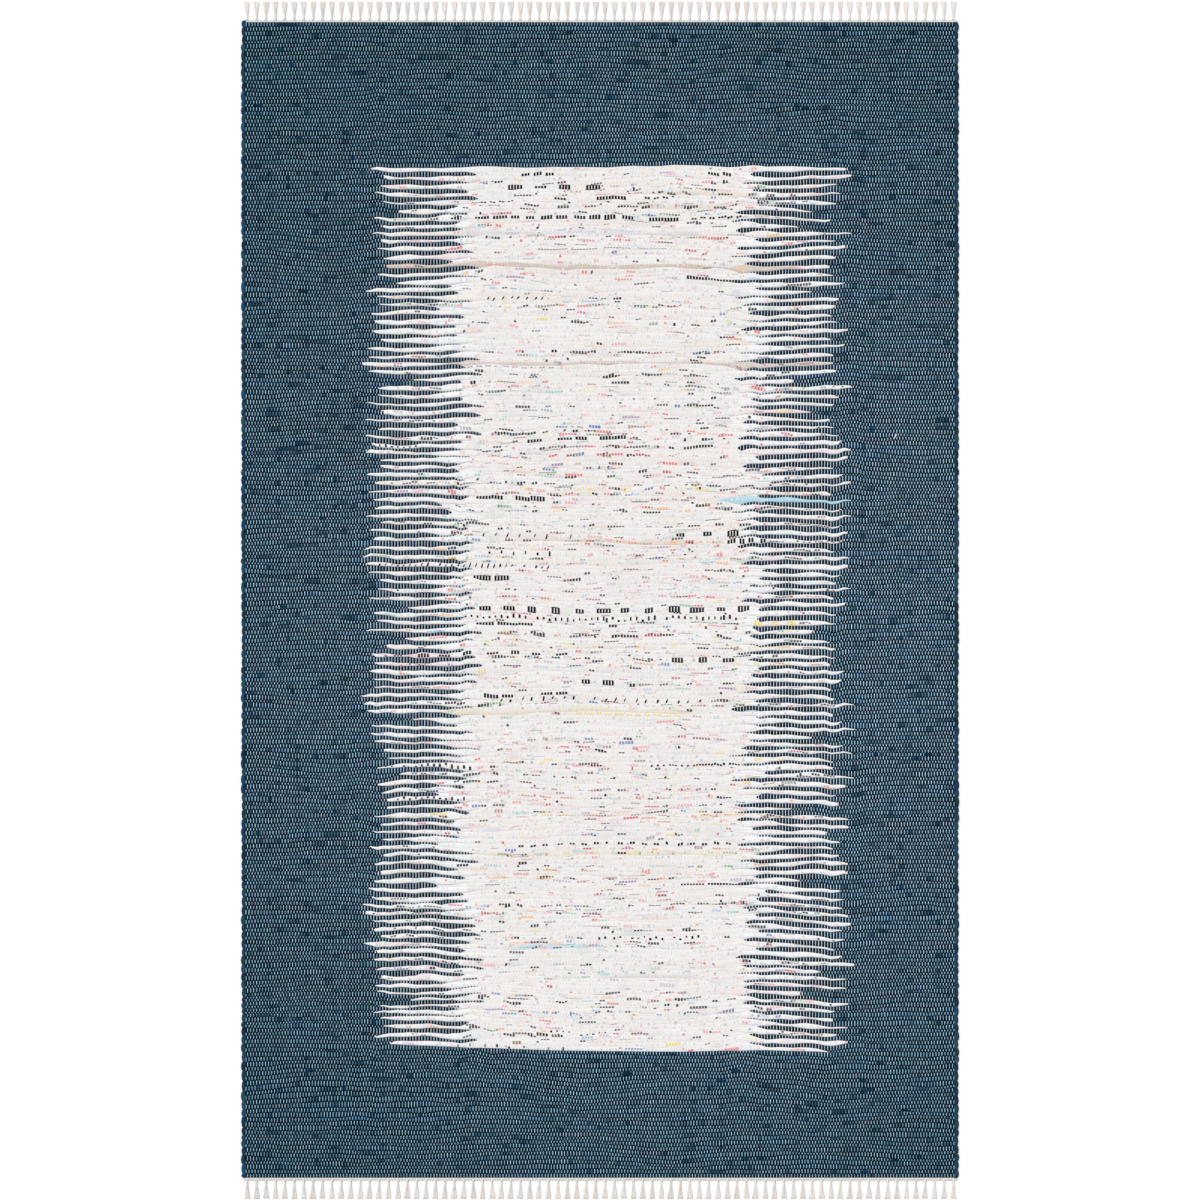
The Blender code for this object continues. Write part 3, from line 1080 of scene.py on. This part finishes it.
def print_crease_shade(prints, pick, rng):
    """Fine grey and dark lines along a pale rag: painted shade in its creases."""
    start, end = pale_span(pick)
    for _ in range(rng.poisson(CREASES_PER_METRE * (end - start))):
        length = rng.uniform(*CREASE_LENGTHS)
        place = rng.uniform(start + CREASE_MARGIN, end - CREASE_MARGIN - length)
        shift = rng.choice(CREASE_PLACES)
        if not is_charted(pick, place, place + length):
            # the crease's painted shade, grey or near black
            ink = "black" if rng.random() < DARK_CREASES else "grey"
            colour = ink_colour(ink, rng.uniform(*CREASE_PALENESS))
            lay_mark(prints, pick, place, place + length, shift, CREASE_HALF, colour)


def print_speck(prints, pick, ink, rng):
    """A small print under a few warps."""
    start, end = pale_span(pick)
    length = float(np.clip(rng.gamma(SPECK_SHAPE, SPECK_SCALE), *SPECK_LENGTHS))
    place = rng.uniform(start + SPECK_MARGIN, end - SPECK_MARGIN - length)
    low, high = stretch_under_warps(pick, under_warp(pick, place), length)
    half = rng.uniform(*SPECK_HALVES)
    shift = rng.uniform(-SPECK_SHIFT, SPECK_SHIFT)
    drift = rng.uniform(-1, 1) * MARK_DRIFT
    strong = rng.random() < STRONG_SPECKS
    pale = rng.uniform(*(STRONG_PALENESS if strong else WEAK_PALENESS))
    if ink == "black":
        pale *= BLACK_PALENESS
    if not is_charted(pick, low, high):
        lay_mark(prints, pick, low, high, shift, half, ink_colour(ink, pale), drift=drift)


def print_scattered(prints, rng):
    """Painted shade in creases, and specks, thrown over all the pale rags by rule."""
    names = list(INKS)
    weights = chances(INKS.values())
    for pick in range(FIELD_FIRST, FIELD_LAST + 1):
        start, end = pale_span(pick)
        busy = rng.gamma(SPECK_CROWDING, 1 / SPECK_CROWDING) * band_share(pick)
        own = rng.choice(len(names), p=weights)
        print_crease_shade(prints, pick, rng)
        for _ in range(rng.poisson(SPECKS_PER_METRE * busy * (end - start))):
            ink = own if rng.random() < OWN_INK else rng.choice(len(names), p=weights)
            print_speck(prints, pick, names[ink], rng)


def print_flecks(prints, rng):
    """Faint flecks of every ink, each between two warps."""
    names = [name for name in INKS if name != "black"]
    for pick in range(FIELD_FIRST, FIELD_LAST + 1):
        start, end = pale_span(pick)
        for _ in range(rng.poisson(FLECKS_PER_METRE * (end - start))):
            place = gap_near(pick, rng.uniform(start + FLECK_MARGIN, end - FLECK_MARGIN))
            reach = WARP_PITCH * rng.uniform(*FLECK_REACHES)
            half = rng.uniform(*FLECK_HALVES)
            shift = rng.uniform(-FLECK_SHIFT, FLECK_SHIFT)
            ink = "grey" if rng.random() < GREY_FLECKS else names[rng.integers(len(names))]
            colour = ink_colour(ink, rng.uniform(*FLECK_PALENESS))
            x = np.array([place - reach, place + reach])
            across = np.tile([shift - half, shift + half], (2, 1))
            lay_print(prints, pick, x, across, colour, 0.0, FLECK_LIFT)


def build_prints():
    """The prints on the pale rags, which the warps cut up."""
    rng = np.random.default_rng(SEEDS["prints"])
    prints = Parts()
    print_flecks(prints, rng)
    print_scattered(prints, rng)
    print_charted(prints, rng)
    return prints.build("rag_prints")


def build_heading(direction):
    """Two rows of twined cotton, with opposite twists, that close the end of the weave."""
    rng = np.random.default_rng(SEEDS["headings"])
    strands = Parts()
    half_span = BODY_WIDTH / 2 - HEADING_INSET
    count = int(2 * half_span / HEADING_TWIST * HEADING_STEPS)
    x = np.linspace(-half_span, half_span, count)
    around = np.array([0.25, 0.75, 1.25, 1.75]) * math.pi
    for row in HEADING_ROWS:
        for strand in (0, math.pi):
            turn = row["twist"] * 2 * math.pi * x / HEADING_TWIST + strand
            y = direction * (BODY_LENGTH / 2 + row["out"]) + HEADING_COIL * np.cos(turn)
            z = HEADING_HEIGHT + HEADING_COIL * np.sin(turn)
            rings = grid(
                x[:, None],
                y[:, None] + HEADING_STRAND * np.cos(around),
                z[:, None] + HEADING_STRAND * np.sin(around),
            )
            shade = 1 + HEADING_SHADE * rng.uniform(-1, 1, count)
            strands.add_tube(rings, np.array(row["colour"]) * shade[:, None])
    return strands.build("heading_far" if direction > 0 else "heading_near")


def tassel_rings(x, y, z, radius, sides, direction):
    """Rings round a line that runs away from the weave, with a radius across and one upwards."""
    around = np.arange(sides) * 2 * math.pi / sides
    return grid(
        x[:, None] - direction * radius[0][:, None] * np.cos(around),
        y[:, None],
        z[:, None] + radius[1][:, None] * np.sin(around),
    )


def knot_rings(centre, root, direction):
    x = np.full(len(KNOT_SIZES), centre)
    y = root + direction * (KNOT_PLACE + KNOT_HALF * KNOT_LENGTH * KNOT_ALONG)
    z = np.full(len(KNOT_SIZES), KNOT_MIDDLE)
    return tassel_rings(x, y, z, (KNOT_HALF * KNOT_SIZES, KNOT_RISE * KNOT_SIZES), KNOT_SIDES, direction)


def lay_tassel(yarns, centre, direction, rng):
    """A knotted bundle of warp ends, spread flat on the floor and cut straight."""
    start = BODY_LENGTH / 2 + JOINT_GAP + HEADING_DEPTH
    root = direction * (start - TASSEL_TUCK)
    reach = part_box("fringe_far")[1][1] - start
    along = TASSEL_ALONG
    radius = YARN_RADIUS * YARN_SIZES
    y = root + direction * (reach * rng.uniform(*TASSEL_LENGTHS)) * along
    lean = TASSEL_LEAN * rng.uniform(-1, 1)
    widen = rng.uniform(*TASSEL_WIDTHS)
    cotton = CREAM * (rng.uniform(*TASSEL_SHADES) * (1 + TASSEL_HUES * rng.uniform(-1, 1)))
    for yarn in range(YARNS):
        side = 2 * yarn / (YARNS - 1) - 1
        x = centre + lean * along ** 2 + side * TASSEL_SPREAD * (1 + (widen - 1) * along)
        x = x + YARN_STRAY * rng.uniform(-1, 1, len(along))
        z = radius + TASSEL_STACK * (yarn % YARN_LAYERS)
        rings = tassel_rings(x, y, z, (radius, radius), YARN_SIDES, direction)
        yarns.add_tube(rings, cotton * rng.uniform(*YARN_SHADES))
    yarns.add_tube(knot_rings(centre, root, direction), cotton * KNOT_SHADE)


def build_tassels(direction):
    rng = np.random.default_rng(SEEDS["tassels"] + direction)
    yarns = Parts()
    for number in range(TASSEL_COUNT):
        lay_tassel(yarns, TASSEL_PITCH * (number - (TASSEL_COUNT - 1) / 2), direction, rng)
    return yarns.build("tassels_far" if direction > 0 else "tassels_near")


# Faces of one stretch of warp. Its points are the far end of its float, the float's far and near
# edges from left to right, its near end, the two sides of its underpass and the end of that.
RIDGED = {
    "columns": (-1, 0, 1),
    "quads": np.array([(1, 4, 5, 2), (2, 5, 6, 3)]),
    "ends": np.array([(0, 1, 2), (0, 2, 3), (4, 7, 5), (5, 7, 6), (7, 9, 10), (7, 10, 8)]),
    "size": 11,
}
FLAT = {
    "columns": (-1, 1),
    "quads": np.array([(1, 3, 4, 2)]),
    "ends": np.array([(0, 1, 2), (3, 5, 4), (5, 7, 8), (5, 8, 6)]),
    "size": 9,
}


def float_points(kind, floats):
    """Points (floats, size, 3) of the stretches of one kind."""
    columns = kind["columns"]
    count = len(columns)
    near = 1 + 2 * count
    points = np.empty((len(floats["x"]), kind["size"], 3))

    def put(place, x, y, z):
        points[:, place, 0] = x
        points[:, place, 1] = y
        points[:, place, 2] = z

    for place, name in ((0, "far"), (near, "near"), (near + 3, "next")):
        put(place, floats["x"], floats[name], WARP_DIP)
    for first, way in ((1, 1), (1 + count, -1)):
        for number, side in enumerate(columns):
            x = floats["x"] + way * floats["skew"] + side * floats["half"]
            y = floats["middle"] + way * floats["level"]
            put(first + number, x, y, floats["ridge"] - WARP_RIDGE * abs(side))
    for place, side in ((near + 1, -1), (near + 2, 1)):
        put(place, floats["x"] + side * WARP_HALF_ON_NAVY, floats["under"], WARP_UNDER)
    return points


def float_shapes(x, picks, whiteness, on_pale, rng):
    """The shape of every stretch of one warp: over one rag, down, under the next and up again."""
    middle = np.array([np.interp(x, xs, row) for row in middles])
    size = np.array([np.interp(x, xs, row) for row in thick])[picks]
    half = between(WARP_HALF_ON_NAVY, WARP_HALF_IN_TEETH, whiteness)
    thinness = np.clip((THIN_FROM - size / PICK) / THIN_SPAN, 0, 1)
    half = np.where(on_pale, WARP_HALF_ON_PALE, half + WARP_SPREAD * thinness * whiteness)
    level = between(WARP_FLAT, WARP_FLAT_IN_TEETH, whiteness)
    relief = np.where(on_pale, pale_relief(x), 1.0) * np.sqrt(size / PICK)
    clear = np.where(on_pale, WARP_CLEAR_ON_PALE, WARP_CLEAR)
    long_pale = on_pale & ((picks - FIELD_FIRST) % 2 == 0)
    lift = np.where(long_pale, PALE_LIFT * (1 - in_field(x)), 0)
    reach = (WARP_REACH + WARP_REACH_ON_PALE * whiteness) * size
    end = BODY_LENGTH / 2 + WARP_OVERRUN
    far = np.minimum(middle[picks] + reach, end)
    return {
        "x": x + WARP_STRAY * rng.uniform(-1, 1, len(picks)),
        "skew": WARP_SKEW * rng.uniform(-1, 1, len(picks)),
        "half": half * rng.uniform(*WARP_WIDTHS, len(picks)),
        "middle": middle[picks],
        "level": np.where(on_pale, WARP_FLAT_ON_PALE, level) * size,
        "ridge": WEFT_MIDDLE + WEFT_RISE * CREST * relief + clear + lift,
        "far": far,
        "near": np.maximum(middle[picks] - reach, -end),
        "under": np.append(middle, -end)[picks + 1],
        "next": np.append(far[1:], -end),
    }


def float_tints(x, picks, whiteness, middle, rng):
    """The tint of every stretch of one warp: blue over the dark rags, and white over the pale."""
    shade = rng.uniform(*WARP_SHADES, (len(picks), 1))
    hue = 1 + WARP_HUES * rng.uniform(-1, 1, (len(picks), 3))
    place = int(round((x - grid_xs[0]) / FLUFF_GRID))
    hue = hue * (1 + WARM_SHIFT * warmth[picks, place][:, None])
    on_navy = between(WARP_ON_NAVY * hue * shade, FLUFF_COLOUR, fluff[picks, place][:, None])
    # lighter towards the middle of the rug and darker towards its corners
    on_navy = on_navy * between(CORNER_TONE, MIDDLE_TONE, middle_lightness(x, middle))
    plain = WARP_WHITE * between(1, shade, PALE_WARP_SHADE)
    plain = plain * stain_tints[picks, place] ** TINT_ON_WARP
    plain = plain * (1 + TEETH_WHITENING * (1 - in_field(x)))
    plain = plain * (1 - WARP_GREYING * rng.random((len(picks), 1)) ** 3)
    plain = plain * (1 + PALE_WARP_HUES * rng.uniform(-1, 1, (len(picks), 3)))
    return between(on_navy, plain, whiteness[:, None])


def lay_warp(warp, spans, strips, rng):
    """One warp, in stretches that each cross over one rag and under the next."""
    x = warp_place(warp)
    picks = np.arange(warp % 2, PICK_COUNT, 2)
    inside = (picks >= FIELD_FIRST) & (picks <= FIELD_LAST)
    depth = np.minimum(x - spans["left"], spans["right"] - x)[picks]
    whitening = np.clip((depth + WHITER_BEFORE) / WHITER_LENGTH, 0, 1)
    on_pale = (x > spans["starts"][picks]) & (x < spans["ends"][picks])
    whiteness = np.maximum(np.where(inside, WHITEST_ON_DARK * whitening, 0), on_pale)
    floats = float_shapes(x, picks, whiteness, on_pale, rng)
    tints = float_tints(x, picks, whiteness, floats["middle"], rng)
    for kind, wanted in ((RIDGED, ~on_pale), (FLAT, on_pale)):
        points = float_points(kind, {name: values[wanted] for name, values in floats.items()})
        first = kind["size"] * np.arange(len(points))[:, None, None]
        strips.add(
            points.reshape(-1, 3),
            np.repeat(tints[wanted], kind["size"], axis=0),
            (first + kind["quads"]).reshape(-1, 4),
            (first + kind["ends"]).reshape(-1, 3),
        )


def build_warps():
    """All the warps, in a few meshes side by side."""
    rng = np.random.default_rng(SEEDS["warps"])
    order = np.arange(PICK_COUNT)
    pairs = FIELD_FIRST + 2 * np.arange(pair_count)
    nowhere = (BODY_WIDTH, -BODY_WIDTH)
    ranges = np.array([pale_span(pick) or nowhere for pick in order])
    spans = {
        "starts": ranges[:, 0],
        "ends": ranges[:, 1],
        "left": np.interp(order, pairs, left_tip),
        "right": np.interp(order, pairs, right_tip),
    }
    bounds = np.linspace(0, warp_count, WARP_PIECES + 1).astype(int)
    pieces = []
    for number in range(WARP_PIECES):
        strips = Parts()
        for warp in range(bounds[number], bounds[number + 1]):
            lay_warp(warp, spans, strips, rng)
        pieces.append(strips.build(f"warps_{number + 1}"))
    return pieces


def set_inputs(node, values):
    for name, value in values.items():
        node.inputs[name].default_value = value


def cloth_material(name, fibre_scale):
    """Matt cotton: its tint comes with the mesh, broken up by fine fibres."""
    material = bpy.data.materials.new(name)
    material.use_nodes = True
    nodes = material.node_tree.nodes
    links = material.node_tree.links
    shader = nodes["Principled BSDF"]
    set_inputs(shader, {"Roughness": ROUGHNESS, "Specular IOR Level": GLOSS})
    tint = nodes.new("ShaderNodeAttribute")
    tint.attribute_name = "tint"
    place = nodes.new("ShaderNodeTexCoord")
    fibres = nodes.new("ShaderNodeTexNoise")
    set_inputs(fibres, {"Scale": fibre_scale, "Detail": FIBRE_DETAIL})
    links.new(place.outputs["Object"], fibres.inputs["Vector"])
    spread = nodes.new("ShaderNodeMapRange")
    set_inputs(spread, {"To Min": FIBRE_SHADES[0], "To Max": FIBRE_SHADES[1]})
    links.new(fibres.outputs["Fac"], spread.inputs["Value"])
    mixed = nodes.new("ShaderNodeMix")
    mixed.data_type = "RGBA"
    mixed.blend_type = "MULTIPLY"
    set_inputs(mixed, {"Factor": 1.0})
    links.new(tint.outputs["Color"], mixed.inputs["A"])
    links.new(spread.outputs["Result"], mixed.inputs["B"])
    links.new(mixed.outputs["Result"], shader.inputs["Base Color"])
    bump = nodes.new("ShaderNodeBump")
    set_inputs(bump, {"Strength": FIBRE_BUMP, "Distance": FIBRE_DEPTH})
    links.new(fibres.outputs["Fac"], bump.inputs["Height"])
    links.new(bump.outputs["Normal"], shader.inputs["Normal"])
    return material


def make_camera():
    data = bpy.data.cameras.new("photo_camera")
    data.lens = CAMERA_LENS
    data.sensor_width = SENSOR
    data.sensor_height = SENSOR
    data.sensor_fit = "AUTO"
    camera = bpy.data.objects.new("photo_camera", data)
    camera.location = (0, 0, PHOTO_SPAN * CAMERA_LENS / SENSOR)
    bpy.context.scene.collection.objects.link(camera)
    bpy.context.scene.camera = camera


def make_floor():
    half = FLOOR_HALF
    corners = [(-half, -half, 0), (half, -half, 0), (half, half, 0), (-half, half, 0)]
    floor = add_mesh("studio_floor", corners, [[[0, 1, 2, 3]]], smooth=False)
    floor.location.z = -FLOOR_DROP
    material = bpy.data.materials.new("floor_white")
    material.use_nodes = True
    shader = material.node_tree.nodes["Principled BSDF"]
    set_inputs(shader, {"Base Color": FLOOR_COLOUR, "Roughness": FLOOR_ROUGHNESS})
    floor.data.materials.append(material)


def make_light():
    scene = bpy.context.scene
    world = bpy.data.worlds.new("studio")
    world.use_nodes = True
    backdrop = world.node_tree.nodes["Background"]
    set_inputs(backdrop, {"Color": BACKDROP_COLOUR, "Strength": BACKDROP_STRENGTH})
    scene.world = world
    data = bpy.data.lights.new("soft_sun", "SUN")
    data.angle = math.radians(SUN_ANGLE)
    data.energy = SUN_STRENGTH
    lamp = bpy.data.objects.new("soft_sun", data)
    lamp.rotation_euler = [math.radians(turn) for turn in SUN_TURN]
    scene.collection.objects.link(lamp)
    scene.view_settings.view_transform = "Standard"
    scene.view_settings.look = "None"


def main():
    make_camera()
    dark, pale = build_wefts()
    loops = build_selvedges()
    slubs = build_slubs()
    prints = build_prints()
    warps = build_warps()
    headings = [build_heading(direction) for direction in (1, -1)]
    tassels = [build_tassels(direction) for direction in (1, -1)]
    rag = cloth_material("cotton_rag", RAG_FIBRES)
    yarn = cloth_material("cotton_yarn", YARN_FIBRES)
    for piece in (dark, pale, loops, slubs, prints):
        piece.data.materials.append(rag)
    for piece in (*warps, *headings, *tassels):
        piece.data.materials.append(yarn)
    rest = [pale, loops, slubs, prints, *warps, *headings, *tassels]
    for piece in (dark, *rest):
        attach(piece, "root")
    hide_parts("woven_body")
    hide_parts("fringe_far")
    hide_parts("fringe_near")
    make_floor()
    make_light()


main()
